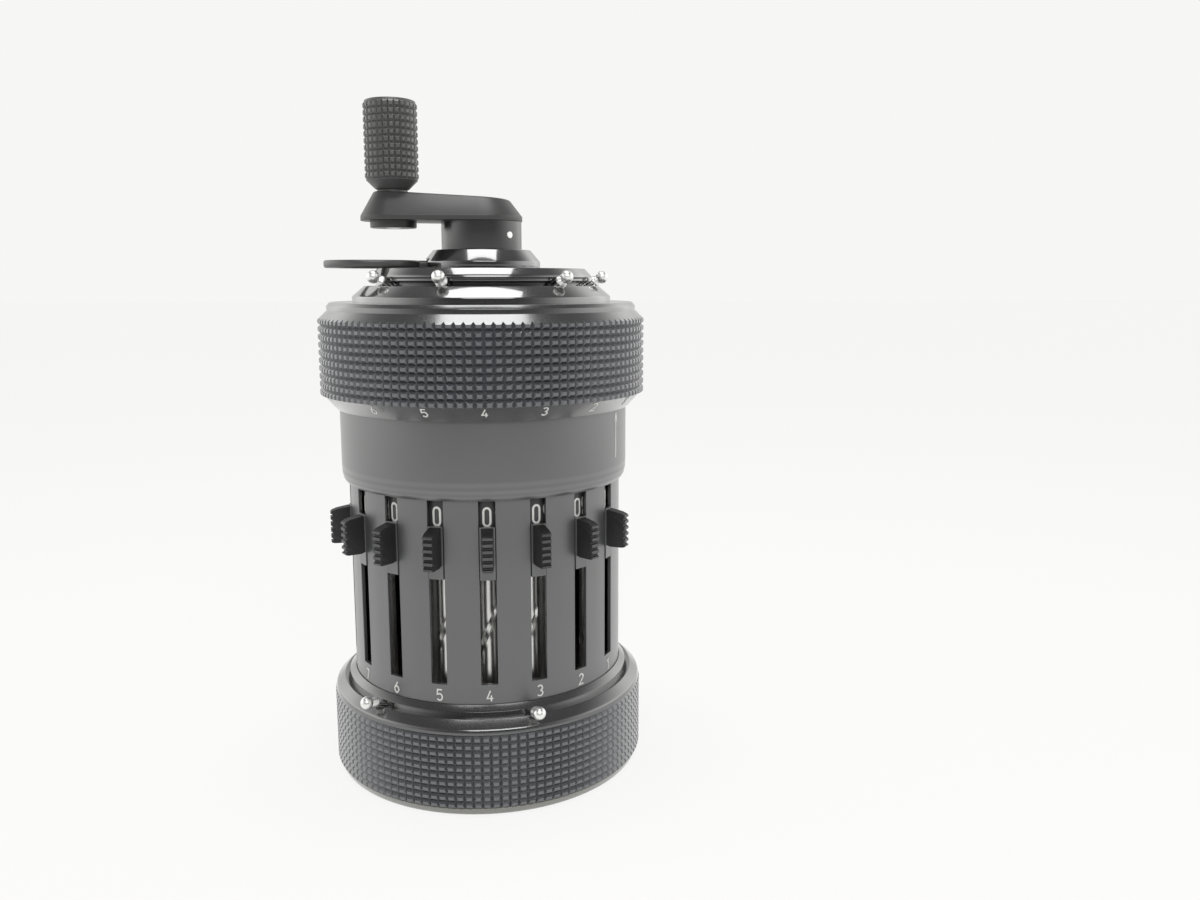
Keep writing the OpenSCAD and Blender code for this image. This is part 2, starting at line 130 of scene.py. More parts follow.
def coat(name, dark, rubbed, roughness, grain, sockets, painted_under_shade=0.0):
    """A thin coat on metal: clouds of tone, fine grain, paler rubbed tips, and painted shade on faces that
    look down.
    """
    material, field, shader = new_finish(name, sockets)
    spot = field.make("ShaderNodeTexCoord", output="Object")
    cloud = clouds(field, spot, 110.0, 4.0)
    speck = clouds(field, spot, 5200.0, 2.0)
    worn = field.make("ShaderNodeAttribute", {"attribute_name": "worn"}, None, "Fac")
    patchy = worn * (0.45 + 0.9 * cloud)
    tone = blended(field, cloud, [c * 0.86 for c in dark] + [1], [c * 1.14 for c in dark] + [1])
    tone = blended(field, patchy, tone, [*rubbed, 1])
    # Painted shade: faces that look down are darkened to near black and lose most of their coat, standing in
    # for the shade under the ridges.
    if painted_under_shade:
        facing = field.make("ShaderNodeNewGeometry", output="Normal")
        lean = field.make("ShaderNodeSeparateXYZ", None, {0: facing}, "Z")
        under = field.make("ShaderNodeMapRange", None, {"Value": lean, "From Min": -0.05, "From Max": -0.5})
        tone = blended(field, painted_under_shade * under, tone, (0.004, 0.004, 0.005, 1))
        (1.0 - painted_under_shade * under).into(shader["Coat Weight"])
    tone.into(shader["Base Color"])
    (roughness - 0.05 + 0.1 * cloud - 0.1 * patchy).into(shader["Roughness"])
    roughen(field, shader, speck, grain, 0.03)
    return material


# The knurl's last value, 0.7, paints shade on the faces of its pyramids that look down.
knurl_coat = coat("knurl_black_coat", (0.060, 0.062, 0.071), (0.076, 0.079, 0.091), 0.36, 0.15,
                  {"Specular IOR Level": 0.6, "Coat IOR": 1.8, "Coat Roughness": 0.22}, 0.7)
smooth_coat = coat("smooth_black_coat", (0.020, 0.020, 0.021), (0.040, 0.040, 0.041), 0.24, 0.04,
                   {"Specular IOR Level": 0.9, "Coat Weight": 1.0, "Coat IOR": 1.8, "Coat Roughness": 0.16})
# Painted reflection: the rim's pale warm grey stands in for the white table mirrored in the black coat.
rim_reflection_coat = coat("rim_table_reflection_coat", (0.175, 0.172, 0.150), (0.24, 0.235, 0.20), 0.34, 0.06,
                {"Specular IOR Level": 0.8, "Coat Weight": 1.0, "Coat IOR": 1.8, "Coat Roughness": 0.2})


def round_size(node):
    """Outer radius, lowest and highest level of a round CAD node, in millimetres."""
    low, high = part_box(node)
    return high.x / MM, low.z / MM, high.z / MM


def swung(turn, radius, level):
    """A point at a turn in radians from the front, towards the right, at a radius and a level."""
    return radius * math.sin(turn), -radius * math.cos(turn), level


def eased(chain):
    """Rounds each corner (radius, height, ease) over its ease. Outer corners come out marked as worn."""
    steps = 4
    rounded = []
    for i, (radius, level, ease) in enumerate(chain):
        corner = Vector((radius, level))
        if not ease:
            rounded.append((radius, level, 0.0))
            continue
        back = (Vector(chain[i - 1][:2]) - corner).normalized()
        ahead = (Vector(chain[(i + 1) % len(chain)][:2]) - corner).normalized()
        convex = ahead.x * back.y - ahead.y * back.x > 0
        for k in range(steps + 1):
            t = k / steps
            p = corner + back * ease * (1 - t) ** 2 + ahead * ease * t ** 2
            rounded.append((p.x, p.y, 4 * t * (1 - t) if convex else 0.0))
    return rounded


def turned(profile, turns=96, closed=True):
    """A shell of points, faces and wear: a profile of (radius, height, wear) turned round Z."""
    points, faces, wear, rings = [], [], [], []
    for radius, level, worn in profile:
        count = 1 if radius < 1e-6 else turns
        rings.append([len(points) + i % count for i in range(turns)])
        points += [swung(math.tau * i / turns, radius, level) for i in range(count)]
        wear += [worn] * count
    pairs = list(zip(rings, rings[1:]))
    if closed:
        pairs.append((rings[-1], rings[0]))
    for lower, upper in pairs:
        for i in range(turns):
            j = (i + 1) % turns
            face = tuple(dict.fromkeys((lower[i], lower[j], upper[j], upper[i])))
            if len(face) > 2:
                faces.append(face)
    return points, faces, wear


def knurled(radius, depth, span, columns, rows, flat, runs=((0, 0), (0, 0))):
    """A shell of square pyramids with flat tips that fills a band. A part row can follow at each end:
    runs gives its tips' length, and how much farther its grooves go."""
    points, faces, wear = [], [], []
    row = (span[1] - span[0]) / rows
    across, up = ((1 - share) / 2 for share in flat)

    def put(column, line, out, worn):
        points.append(swung(math.tau * column / columns, out, span[0] + line * row))
        wear.append(worn)
        return len(points) - 1

    valley = [[put(i, j, radius - depth, 0.0) for i in range(columns)] for j in range(rows + 1)]
    for j in range(rows):
        for i in range(columns):
            k = (i + 1) % columns
            foot = (valley[j][i], valley[j][k], valley[j + 1][k], valley[j + 1][i])
            sides = ((across, up), (1 - across, up), (1 - across, 1 - up), (across, 1 - up))
            tip = [put(i + x, j + y, radius, 1.0) for x, y in sides]
            faces.append(tuple(tip))
            faces += [(foot[n], foot[(n + 1) % 4], tip[(n + 1) % 4], tip[n]) for n in range(4)]
    for line, (run, fall), sense in ((0, runs[0], -1), (rows, runs[1], 1)):
        if not run:
            continue
        end = line + sense * run / row
        bottom = [put(i, end + sense * fall / row, radius - depth, 0.0) for i in range(columns)]
        for i in range(columns):
            k = (i + 1) % columns
            near = [put(i + x, line + sense * up, radius, 1.0) for x in (across, 1 - across)]
            far = [put(i + x, end, radius, 1.0) for x in (across, 1 - across)]
            faces += [
                (near[0], near[1], far[1], far[0]),
                (valley[line][i], valley[line][k], near[1], near[0]),
                (valley[line][i], near[0], far[0], bottom[i]),
                (valley[line][k], near[1], far[1], bottom[k]),
            ]
    return points, faces, wear


def run_out(radius, depth, levels, columns, flat):
    """The lands between the grooves where a knurl ends, from the ends of its tips to the grooves' level."""
    points, faces = [], []
    ends = ((0.5 - flat / 2, radius, levels[0]), (0.5 + flat / 2, radius, levels[0]),
            (1, radius - depth, levels[1]), (0, radius - depth, levels[1]))
    for i in range(columns):
        faces.append(tuple(range(len(points), len(points) + 4)))
        points += [swung(math.tau * (i + share) / columns, out, level) for share, out, level in ends]
    return points, faces, [0.0] * len(points)


def joined(*shells):
    """Several shells as one."""
    points, faces, wear = [], [], []
    for more_points, more_faces, more_wear in shells:
        start = len(points)
        points += more_points
        faces += [tuple(start + i for i in face) for face in more_faces]
        wear += more_wear
    return points, faces, wear


def weld(mesh):
    """Joins the points that meet, and turns all faces outwards."""
    whole = bmesh.new()
    whole.from_mesh(mesh)
    bmesh.ops.remove_doubles(whole, verts=whole.verts, dist=0.0005 * MM)
    bmesh.ops.recalc_face_normals(whole, faces=whole.faces)
    whole.to_mesh(mesh)
    whole.free()


def shade(mesh, crease):
    """Smooth faces, with a sharp edge where they meet at more than the crease angle in degrees."""
    mesh.shade_smooth()
    mesh.set_sharp_from_angle(angle=math.radians(crease))


def stood(name, data):
    """A new object in the scene for a mesh, a lamp or a lens."""
    made = bpy.data.objects.new(name, data)
    bpy.context.collection.objects.link(made)
    return made


plain_crease = 38


def piece(name, body, groups, nodes=(), crease=plain_crease):
    """Makes one piece from (shell, finish) groups, and hangs it on its body in place of its nodes."""
    mesh = bpy.data.meshes.new(name)
    points, faces, wear = joined(*[shell for shell, _ in groups])
    mesh.from_pydata([Vector(p) * MM for p in points], [], faces)
    mesh.attributes.new("worn", "FLOAT", "POINT").data.foreach_set("value", wear)
    mesh.polygons.foreach_set("material_index", [n for n, (shell, _) in enumerate(groups) for _ in shell[1]])
    for _, finish in groups:
        mesh.materials.append(finish)
    weld(mesh)
    shade(mesh, crease)
    made = stood(name, mesh)
    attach(made, body)
    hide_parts(*nodes)
    return made


base_radius, base_low, base_top = round_size("base_ring")
sleeve_radius, sleeve_low, sleeve_top = round_size("slotted_sleeve")
plate_radius, plate_low, plate_top = round_size("bottom_plate")
sleeve_wall = 0.6
sleeve_inner = sleeve_radius - sleeve_wall
sleeve_bore = sleeve_radius + 0.05
ledge_inner = sleeve_inner - 0.5
plate_bore = plate_radius + 0.1
foot_radius = base_radius - 1.2
knurl_columns = 118
base_depth = 0.38
base_rows = 9
base_flat = (0.58, 0.40)
base_band = (base_low + 2.45, base_top - 3.7)
base_run = (0.8, 0.25)
base_rim = (base_band[0] - base_run[0], base_band[0] - sum(base_run))
cone_foot = Vector((base_radius - 0.25, base_top - 2.8))
cone_head = Vector((sleeve_radius + 0.06, base_top))
cone_slope = (cone_head - cone_foot).normalized()
lower_seat = cone_foot.lerp(cone_head, 0.55)
lower_tilt = 75
groove_half = 0.45
groove_depth = 0.95
groove_ease = 0.07


def groove(seat, tilt, slope):
    """The corners of a marker's groove, cut into a slope along the lean of the marker's stem."""
    stem = Vector((math.sin(math.radians(tilt)), math.cos(math.radians(tilt))))
    across = Vector((-stem.y, stem.x))
    reach = slope * groove_half / slope.dot(across)
    floor = seat - stem * groove_depth
    return [(*(seat - reach), groove_ease), (*(floor - across * groove_half), 0),
            (*(floor + across * groove_half), 0), (*(seat + reach), groove_ease)]


base_chain = [
    (base_radius - base_depth, base_band[1], 0),
    (base_radius - 0.1, base_band[1] + 0.2, 0.1),
    (*cone_foot, 0.25),
    *groove(lower_seat, lower_tilt, cone_slope),
    (*cone_head, 0.15),
    (sleeve_bore, sleeve_low, 0),
    (ledge_inner, sleeve_low, 0),
    (ledge_inner, plate_top, 0),
    (plate_bore, plate_top, 0),
    (plate_bore, base_low, 0.1),
    (foot_radius, base_low, 0),
]
rim_chain = [
    (foot_radius, base_low, 0),
    (base_radius - 0.65, base_low + 0.25, 0.3),
    (base_radius - 0.25, base_rim[1] - 0.1, 0.05),
    (base_radius - base_depth, base_rim[1], 0),
]
piece("base_ring_turned", "housing", [
    (turned(eased(base_chain), knurl_columns, closed=False), smooth_coat),
    # The bottom rim and the lands where the knurl ends take the painted table reflection.
    (joined(turned(eased(rim_chain), knurl_columns, closed=False),
            run_out(base_radius, base_depth, base_rim, knurl_columns, base_flat[0])), rim_reflection_coat),
    (knurled(base_radius, base_depth, base_band, knurl_columns, base_rows, base_flat, (base_run, (0, 0))),
     knurl_coat),
], ["base_ring"])

# Bottom plate: a round aluminium plate with a shallow recess, let into the base ring from below.
# Three slotted cheese-head screws hold it to the bearing frame.


def placed(shell, place):
    """A shell with each of its points put where the place says."""
    points, faces, wear = shell
    return [place(*p) for p in points], faces, wear


def at(angle, radius=0.0, level=0.0, tilt=0.0):
    """A place round the axis, where -Y is outwards; a tilt leans its Z axis outwards."""
    turn = Matrix.Rotation(math.radians(angle), 4, "Z") @ Matrix.Translation((0, -radius, level))
    turn = turn @ Matrix.Rotation(math.radians(tilt), 4, "X")
    return lambda x, y, z: tuple(turn @ Vector((x, y, z)))


def arc(cx, cy, rx, ry, start, end, steps=14):
    """Points along a stretch of an ellipse, from one angle to another in degrees."""
    sweep = [math.radians(start + (end - start) * i / steps) for i in range(steps + 1)]
    return [(cx + rx * math.cos(a), cy + ry * math.sin(a)) for a in sweep]


def stacked(points, count, wear=None):
    """A shell from outlines with the same count of points, one after the other, closed at both ends."""
    faces = [tuple(range(count)), tuple(range(len(points) - count, len(points)))]
    for start in range(0, len(points) - count, count):
        for i in range(count):
            j = (i + 1) % count
            faces.append((start + i, start + j, start + count + j, start + count + i))
    return points, faces, wear or [0.0] * len(points)


def prism(outline, low, high, edge=0.0):
    """A shell with a flat outline, and both its rims drawn in by a small chamfer."""
    middle = sum((Vector(p) for p in outline), Vector((0, 0))) / len(outline)
    levels = [(low, edge, 1.0), (low + edge, 0, 0.0), (high - edge, 0, 0.0), (high, edge, 1.0)]
    if not edge:
        levels = [(low, 0, 0.0), (high, 0, 0.0)]
    points, wear = [], []
    for level, inset, worn in levels:
        for p in outline:
            out = Vector(p) - middle
            kept = middle + out * max(0.0, 1 - inset / max(out.length, 0.01))
            points.append((kept.x, kept.y, level))
            wear.append(worn)
    return stacked(points, len(outline), wear)


def tube(bore, radius, low, high, eases=(0, 0), turns=32):
    """A turned tube with its outer edges rounded, the lower one first."""
    chain = [(bore, low, 0), (radius, low, eases[0]), (radius, high, eases[1]), (bore, high, 0)]
    return turned(eased(chain), turns)


def plain_bar(radius, low, high, ease=0.1, turns=32):
    """A turned bar with broken edges."""
    return tube(0, radius, low, high, (ease, ease), turns)


def metal(name, pale, dark, roughness, streak=(300.0, 300.0, 4000.0)):
    """Bare metal: fine turning streaks, with faint tarnish in patches."""
    material, field, shader = new_finish(name, {"Metallic": 1.0})
    spot = field.make("ShaderNodeTexCoord", output="Object")
    drawn = field.make("ShaderNodeMapping", None, {"Vector": spot, "Scale": streak})
    line = clouds(field, drawn, 1.0, 3.0)
    patch = clouds(field, spot, 260.0, 3.0)
    blended(field, patch * patch, [*pale, 1], [*dark, 1]).into(shader["Base Color"])
    (roughness - 0.05 + 0.1 * line + 0.06 * patch).into(shader["Roughness"])
    roughen(field, shader, line, 0.25, 0.01)
    return material


satin_coat = coat("satin_black_coat", (0.050, 0.051, 0.053), (0.085, 0.086, 0.088), 0.38, 0.2,
                  {"Specular IOR Level": 0.9, "Coat Weight": 1.0, "Coat IOR": 1.75, "Coat Roughness": 0.38})
bright_steel = metal("polished_steel", (0.80, 0.80, 0.78), (0.55, 0.54, 0.51), 0.18)
recess_radius = plate_radius * 0.75
recess_level = plate_low + 0.4
plate_chain = [
    (0, recess_level, 0),
    (recess_radius, recess_level, 0.2),
    (recess_radius + 0.3, plate_low, 0.2),
    (plate_radius, plate_low, 0.25),
    (plate_radius, plate_top, 0.1),
    (0, plate_top, 0),
]
piece("bottom_plate_turned", "housing", [
    (turned(eased(plate_chain), 96), satin_coat),
], ["bottom_plate"])
screw_circle = 14.5
screw_radius = 2.1
screw_slot = 0.32
screw_edge = 0.08
screw_span = (plate_low - 0.35, plate_low + 0.45)
screw_bend = math.degrees(math.acos(screw_slot / screw_radius))
screw_outline = arc(0, 0, screw_radius, screw_radius, -screw_bend, screw_bend, 16)
screw_half = prism(screw_outline, *screw_span, screw_edge)
screw_floor = plain_bar(screw_radius - 0.1, plate_low + 0.05, plate_low + 0.5, 0)
screw_head = joined(screw_half, placed(screw_half, at(180)), screw_floor)
for number, angle in enumerate((15, 135, 255), 1):
    piece(f"bottom_screw_{number}", "housing",
          [(placed(screw_head, at(angle, screw_circle)), bright_steel)])

# Inner works: the bearing plates, shafts, stepped drum, thrust collar and carriage sleeve keep the CAD
# shapes, because they are turned and milled to plain forms. Light alloy plates, oiled steel shafts.

light_alloy = metal("machined_alloy", (0.60, 0.59, 0.56), (0.42, 0.41, 0.39), 0.34, (500.0, 500.0, 2600.0))
oiled_steel = metal("oiled_steel", (0.42, 0.42, 0.42), (0.26, 0.26, 0.25), 0.55)
for node, finish in {
    "bearing_frame": light_alloy, "upper_bearing_plate": light_alloy, "thrust_collar": light_alloy,
    "carriage_sleeve": light_alloy, "transmission_shafts": oiled_steel, "main_shaft": oiled_steel,
    "step_drum": oiled_steel, "knob_axle": bright_steel,
}.items():
    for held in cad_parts[node].material_slots:
        held.material = finish

# Carriage spring: a coil of drawn steel wire round the guide tube. It presses the carriage down, and
# its turns close up as the carriage lifts.

spring_near, spring_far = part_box("carriage_spring")
spring_wire = 0.35
spring_radius = spring_far.x / MM - spring_wire
spring_span = (spring_near.z / MM, spring_far.z / MM)
spring_turns = 3


def coiled(radius, wire, low, high, turns):
    """A round wire wound into a coil between two levels, with cut ends."""
    steps = 28
    sides = 10
    count = turns * steps
    points = []
    for i in range(count + 1):
        level = low + wire + (high - low - 2 * wire) * i / count
        points += [swung(math.tau * i / steps, radius + out, level + up)
                   for out, up in arc(0, 0, wire, wire, 0, 360, sides)[:-1]]
    return stacked(points, sides)


spring = piece("carriage_coil", "housing", [
    (coiled(spring_radius, spring_wire, *spring_span, spring_turns), bright_steel),
], ["carriage_spring"], 50)
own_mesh(spring)

# Slotted sleeve: a thin aluminium tube with eight long slots milled through it for the sliders and
# one short slot at the back. It stands on the base ring's ledge. Satin black, with engraved numbers
# below the slots that are filled with white paint.

slot_pitch = 20
slot_angles = {k: (4 - k) * slot_pitch for k in range(1, 9)}
slot_half = 1.25
slider_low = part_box("setting_slider_4")[0].z / MM
slider_travel = 15.75
collar_radius, collar_low, collar_top = round_size("upper_collar")
slot_span = (slider_low - slider_travel - 0.8, collar_low + 1.2)
back_half = 1.1
back_span = (slot_span[0] + 8.7, slot_span[0] + 17.7)
label_level = 18.05
label_height = 1.9
label_stroke = 0.22


def ribbon(line, stroke, lift):
    """A flat bar of even width that follows a line of points."""
    points = []
    for i, p in enumerate(line):
        ahead = Vector(line[min(i + 1, len(line) - 1)]) - Vector(p)
        back = Vector(p) - Vector(line[max(i - 1, 0)])
        ahead = ahead.normalized() if ahead.length > 1e-6 else back.normalized()
        back = back.normalized() if back.length > 1e-6 else ahead
        along = (ahead + back).normalized() if (ahead + back).length > 1e-6 else ahead
        side = Vector((-along.y, along.x)) * stroke / 2 / max(0.6, along.dot(ahead))
        for sign, level in ((1, -lift), (1, lift), (-1, lift), (-1, -lift)):
            points.append((p[0] + sign * side.x, p[1] + sign * side.y, level))
    return stacked(points, 4)


def numeral(digit, height, stroke, lift=0.05, slim=1.0):
    """A shell of one engraved digit, drawn with an even stroke: x to the right, y up, z outwards."""
    drawn = {
        0: [arc(0, 0.56, 0.5, 0.44, 0, 180) + arc(0, -0.56, 0.5, 0.44, 180, 360) + [(0.5, 0.56)]],
        1: [[(-0.4, 0.55), (0.08, 1.0), (0.08, -1.0)]],
        2: [arc(0, 0.5, 0.5, 0.5, 170, -30) + [(-0.5, -1.0), (0.55, -1.0)]],
        3: [arc(0, 0.5, 0.46, 0.5, 150, -90) + arc(0, -0.5, 0.52, 0.5, 90, -150)],
        4: [[(0.05, 1.0), (-0.55, -0.45), (0.55, -0.45)], [(0.22, 0.1), (0.22, -1.0)]],
        5: [[(0.45, 1.0), (-0.38, 1.0), (-0.44, 0.1)] + arc(0, -0.38, 0.52, 0.62, 118, -145)],
        6: [[(0.25, 1.0), (-0.40, -0.05)] + arc(0, -0.42, 0.52, 0.58, 150, 480)],
        7: [[(-0.52, 1.0), (0.52, 1.0), (-0.12, -1.0)]],
        8: [arc(0, 0.5, 0.42, 0.5, 270, -80), arc(0, -0.5, 0.52, 0.5, 90, 440)],
        9: [[(-0.25, -1.0), (0.40, 0.05)] + arc(0, 0.42, 0.52, 0.58, -30, 300)],
    }[digit]
    size = (height - stroke) / 2
    return joined(*[ribbon([(x * size * slim, y * size) for x, y in line], stroke, lift) for line in drawn])


def digits(places, **look):
    """A shell of engraved digits, each at its own place and all drawn alike."""
    return joined(*[placed(numeral(digit, **look), place) for digit, place in places.items()])


def on_drum(angle, radius, level, sense=1):
    """A place on a round wall, where x runs round it and y up it; a sense of -1 turns it head down."""
    return lambda x, y, z: swung(math.radians(angle) + sense * x / radius, radius + z, level + sense * y)


white_fill, paint_field, paint_shader = new_finish("white_fill", {"Roughness": 0.55})
paint_spot = paint_field.make("ShaderNodeTexCoord", output="Object")
paint_dust = clouds(paint_field, paint_spot, 1500.0, 3.0)
paint_tone = blended(paint_field, paint_dust, (0.90, 0.90, 0.87, 1), (0.70, 0.70, 0.67, 1))
paint_tone.into(paint_shader["Base Color"])


def slotted_tube():
    """The sleeve's wall as cells between slot edges and levels, with the cells of the slots left out."""
    cell = 4
    cuts = [(angle, slot_half, slot_span) for angle in slot_angles.values()]
    cuts.append((180, back_half, back_span))
    columns = []
    for angle, half, _ in cuts:
        columns += [(angle, -half), (angle, half)]
    columns += [(angle, 0.0) for angle in range(-180, 180, cell)
                if all(abs((angle - a + 180) % 360 - 180) > cell + 0.4 for a, _, _ in cuts)]
    columns.sort(key=lambda c: (c[0] + c[1] + 360) % 360)
    levels = sorted({sleeve_low, sleeve_top, *slot_span, *back_span})
    points, faces, number = [], [], {}

    def corner(i, j, radius):
        key = i % len(columns), j, radius
        if key not in number:
            angle, shift = columns[key[0]]
            number[key] = len(points)
            points.append(swung(math.radians(angle) + math.asin(shift / radius), radius, levels[j]))
        return number[key]

    def through(first, second):
        faces.append((corner(*first, sleeve_radius), corner(*second, sleeve_radius),
                      corner(*second, sleeve_inner), corner(*first, sleeve_inner)))

    def solid(i, j):
        if not 0 <= j < len(levels) - 1:
            return False
        (a, left), (b, right) = columns[i % len(columns)], columns[(i + 1) % len(columns)]
        for angle, half, (low, high) in cuts:
            if a == b == angle and left == -half and right == half:
                return not low <= levels[j] < high
        return True

    for i in range(len(columns)):
        for j in range(len(levels) - 1):
            if not solid(i, j):
                continue
            for radius in (sleeve_radius, sleeve_inner):
                faces.append((corner(i, j, radius), corner(i + 1, j, radius),
                              corner(i + 1, j + 1, radius), corner(i, j + 1, radius)))
            for side, beside in ((0, solid(i - 1, j)), (1, solid(i + 1, j))):
                if not beside:
                    through((i + side, j), (i + side, j + 1))
            for rise, beside in ((0, solid(i, j - 1)), (1, solid(i, j + 1))):
                if not beside:
                    through((i, j + rise), (i + 1, j + rise))
    return points, faces, [0.0] * len(points)


def soften(made, width):
    """Breaks the sharp edges of a piece, as a deburring wheel does."""
    bevel = made.modifiers.new("broken_edges", "BEVEL")
    bevel.width = width * MM
    bevel.segments = 2
    bevel.limit_method = "ANGLE"
    bevel.angle_limit = math.radians(40)
    bevel.harden_normals = True


sleeve = piece("sleeve_slotted", "housing", [(slotted_tube(), satin_coat)], ["slotted_sleeve"])
soften(sleeve, 0.1)
label_places = {k: on_drum(angle, sleeve_radius, label_level) for k, angle in slot_angles.items()}
piece("sleeve_numbers", "housing", [
    (digits(label_places, height=label_height, stroke=label_stroke), white_fill),
])

# Digit shafts: eight ground steel shafts behind the slots. The slider's pin runs in the spiral groove
# and turns the shaft, and the black drum at the top shows its white digit above the slider.

shaft_near, shaft_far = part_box("digit_shaft_4")
shaft_circle = -(shaft_near.y + shaft_far.y) / 2 / MM
shaft_low, shaft_high = shaft_near.z / MM, shaft_far.z / MM
journal_radius = 0.8
drum_radius = (shaft_far.x - shaft_near.x) / 2 / MM
drum_span = (collar_low - 4.6, collar_low + 0.1)
digit_level = collar_low - 2.6
digit_step = 36
spiral_radius = 1.25
spiral_span = (slider_low - slider_travel - 1.6, slider_low + 4.15)
groove_height = slider_low - 8.55
turn_per_mm = 9 * digit_step / slider_travel
drum_coat = coat("drum_black_coat", (0.055, 0.055, 0.056), (0.09, 0.09, 0.09), 0.42, 0.1, {})
shaft_steel = metal("ground_steel", (0.78, 0.78, 0.76), (0.58, 0.57, 0.54), 0.32)


def spiral_shaft():
    """The grooved stretch of a shaft: one cross-section that turns as it climbs."""
    lip = 26
    section = [(lip, spiral_radius), (22, 0.84), (8, 0.80), (-8, 0.80), (-22, 0.84), (-lip, spiral_radius)]
    section += [(-lip - (360 - 2 * lip) * i / 14, spiral_radius) for i in range(1, 14)]
    rows = 54
    points = []
    for j in range(rows + 1):
        level = spiral_span[0] + (spiral_span[1] - spiral_span[0]) * j / rows
        turn = turn_per_mm * (level - groove_height)
        points += [swung(math.radians(turn + angle), radius, level) for angle, radius in section]
    return stacked(points, len(section))


shaft_parts = joined(
    plain_bar(journal_radius, shaft_low, shaft_low + 3.8),
    plain_bar(spiral_radius, shaft_low + 3, spiral_span[0] + 0.02, 0.05),
    spiral_shaft(),
    plain_bar(spiral_radius, spiral_span[1] - 0.02, shaft_high - 2.5, 0.05),
    plain_bar(journal_radius, shaft_high - 3, shaft_high),
)
digit_drum = plain_bar(drum_radius, *drum_span, 0.12, 40)
drum_digits = digits({d: on_drum(-digit_step * d, drum_radius, digit_level) for d in range(10)},
                     height=3.05, stroke=0.32, slim=0.76)
for k, angle in slot_angles.items():
    home = at(angle, shaft_circle)
    piece(f"digit_shaft_grooved_{k}", f"digit_{k}", [
        (placed(shaft_parts, home), shaft_steel),
        (placed(digit_drum, home), drum_coat),
        (placed(drum_digits, home), white_fill),
    ], [f"digit_shaft_{k}"])

# Setting sliders: eight die-cast knobs with five thumb scoops across the face, each on a plate that
# fills its slot and a nut that runs on the digit shaft. Matt black coat; the gear is light alloy.

slider_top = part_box("setting_slider_4")[1].z / MM - 0.8
slider_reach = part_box("setting_slider_4")[0].y / -MM
slider_width = 1.9
slider_taper = 0.2
slide_width = 2 * slot_half - 0.15
nut_span = (slider_low + 0.65, slider_low + 3.65)
nut_bore = 1.34
nut_radius = 2.2
nut_hold = 1.8
fork_span = (nut_span[0], nut_span[0] + 1)
gear_bore = 0.96
gear_hub = 1.7
transmission_circle = 13.5
matt_coat = coat("matt_black_coat", (0.012, 0.012, 0.013), (0.095, 0.095, 0.096), 0.50, 0.3,
                 {"Specular IOR Level": 0.5})


def scooped_face():
    """Outline of a knob as (outwards, height): the face has five scoops between narrow lands."""
    scoops = 5
    pitch = 1.0
    scoop = 0.56
    scoop_depth = 0.36
    under = slider_low + 1.95
    first = slider_low + 2.35
    outline = [(sleeve_radius - 0.3, slider_low + 2.3), (sleeve_radius + 0.7, under),
               (slider_reach - 0.6, under), (slider_reach - 0.15, under + 0.1), (slider_reach, first - 0.12)]
    for n in range(scoops):
        start = first + n * pitch
        outline += arc(slider_reach, start + scoop / 2, scoop_depth, scoop / 2, 270, 90, 6)
    top = first + (scoops - 1) * pitch + scoop
    outline += [(slider_reach, top + 0.2), (slider_reach - 0.25, top + 0.45),
                (slider_reach - 1.0, slider_top - 0.5), (sleeve_radius - 0.3, slider_top - 0.05)]
    return outline


def slider_knob():
    """The knob, narrower towards its face, with lands painted paler than the dark scoops between them."""
    points, faces, _ = prism(scooped_face(), 0, slider_width)
    # The lands take the paler rubbed tone. The scoops keep the matt coat's very dark colour, which is partly
    # the coat itself and partly painted shade in their hollows.
    wear = [1.0 if x > slider_reach - 0.05 else 0.0 for x, _, _ in points]

    def place(x, y, z):
        share = max(0.0, (x - sleeve_radius) / (slider_reach - sleeve_radius))
        return (z - slider_width / 2) * (1 - slider_taper * share), -x, y

    return placed((points, faces, wear), place)


def upright(outline, width):
    """A shell with an outline of (outwards, height) that stands on edge, square across the slot."""
    return placed(prism(outline, 0, width), lambda x, y, z: (z - width / 2, -x, y))


def square_bar(near, far, low, high, width):
    """A bar with square ends that points outwards, from one radius to another."""
    return upright([(near, low), (far, low), (far, high), (near, high)], width)


def toothed(outer, root, teeth, low, high):
    """A small gear with straight-flanked teeth."""
    outline = []
    for i in range(teeth):
        for shift, radius in ((-0.36, root), (-0.16, outer), (0.16, outer), (0.36, root)):
            a = math.tau * (i + shift) / teeth
            outline.append((radius * math.cos(a), radius * math.sin(a)))
    return prism(outline, low, high)


knob_shell = slider_knob()
slide_shell = joined(
    square_bar(sleeve_inner + 0.1, sleeve_radius + 0.15, slider_low, slider_top, slide_width),
    placed(tube(nut_bore, nut_radius, *nut_span, (0.12, 0.12)), at(0, shaft_circle)),
    square_bar(shaft_circle + nut_hold, sleeve_inner + 0.3, *nut_span, 2),
)
gear_shell = joined(
    square_bar(transmission_circle + 1.2, shaft_circle - nut_hold, *fork_span, 1.4),
    placed(tube(gear_bore, gear_hub, *fork_span), at(0, transmission_circle)),
    placed(toothed(2.15, 1.6, 10, fork_span[1] - 0.05, nut_span[1]), at(0, transmission_circle)),
)
for k, angle in slot_angles.items():
    home = at(angle)
    slider = piece(f"slider_knob_{k}", f"slider_{k}", [
        (placed(knob_shell, home), matt_coat),
        (placed(slide_shell, home), satin_coat),
        (placed(gear_shell, home), light_alloy),
    ], [f"setting_slider_{k}"], 30)
    soften(slider, 0.07)

# Upper collar: a plain turned aluminium band round the top of the sleeve, hung on the upper bearing
# plate by an inner lip. Satin black and bare, with a white engraved arrow that marks the carriage place.

